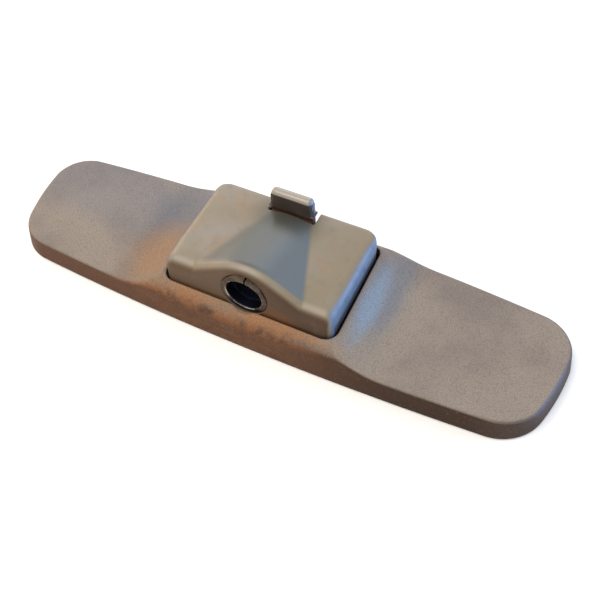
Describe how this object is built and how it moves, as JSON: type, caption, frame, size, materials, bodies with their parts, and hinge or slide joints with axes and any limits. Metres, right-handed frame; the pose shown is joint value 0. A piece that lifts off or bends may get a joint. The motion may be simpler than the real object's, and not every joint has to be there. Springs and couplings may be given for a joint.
{
  "type": "vehicle interior mirror with dip lever",
  "caption": "Inside rear-view mirror head lying on its glass: grained shell, ball-socket pod with a split ring, and a dip lever that tips the wedge glass.",
  "frame": {"origin": "middle of the plane that the mirror lies on, under the centre of its outline", "axes": "+X along the mirror, -Y towards the edge that is uppermost in the car, which the ball socket opens past, +Z out of the mirror's back"},
  "size_m": [0.2488, 0.0662, 0.0389],
  "materials": {
    "grained_shell": "fine leather grain, low sheen",
    "black_rubber": "matt",
    "silvered_glass": "polished, silvered back",
    "foam": "open cell foam",
    "zinc_steel": "zinc plated",
    "screw_steel": "plated",
    "nylon": "natural, satin",
    "die_cast_zinc": "as cast",
    "cover_plastic": "smooth, worn satin",
    "spring_steel": "blued",
    "ring_steel": "bright, worn",
    "black_acetal": "satin",
    "lever_plastic": "moulded",
    "grip_plastic": "glossy, worn"
  },
  "bodies": {
    "head": {"housing_shell": "grained_shell", "glass_bezel": "black_rubber", "mirror_glass": "silvered_glass", "foam_pads": "foam", "frame_plate": "zinc_steel", "frame_screws": "screw_steel", "follower_screw": "screw_steel", "cam_follower": "nylon", "hinge_bushes": "nylon"},
    "pod": {"pod_carrier": "die_cast_zinc", "pod_cover": "cover_plastic", "cover_screws": "screw_steel", "hinge_pins": "screw_steel", "hinge_clips": "screw_steel", "tilt_springs": "spring_steel", "socket_ring": "ring_steel", "ball_cup_front": "black_acetal", "ball_cup_rear": "black_acetal", "socket_springs": "spring_steel", "socket_plug": "screw_steel", "lever_pin": "screw_steel", "lever_clips": "screw_steel", "friction_washers": "spring_steel"},
    "lever": {"dip_lever": "lever_plastic", "lever_grip": "grip_plastic"}
  },
  "joints": [
    {"name": "dip_tilt", "type": "hinge", "parent": "head", "child": "pod", "pos_m": [0, -0.0185, 0.0125], "axis": [1, 0, 0], "range_deg": [0, 4]},
    {"name": "lever_flip", "type": "hinge", "parent": "pod", "child": "lever", "pos_m": [0, 0.0174, 0.0216], "axis": [-1, 0, 0], "range_deg": [0, 60]}
  ],
  "couplings": [
    {"joint": "dip_tilt", "follows": "lever_flip", "ratio": 0.066667}
  ]
}
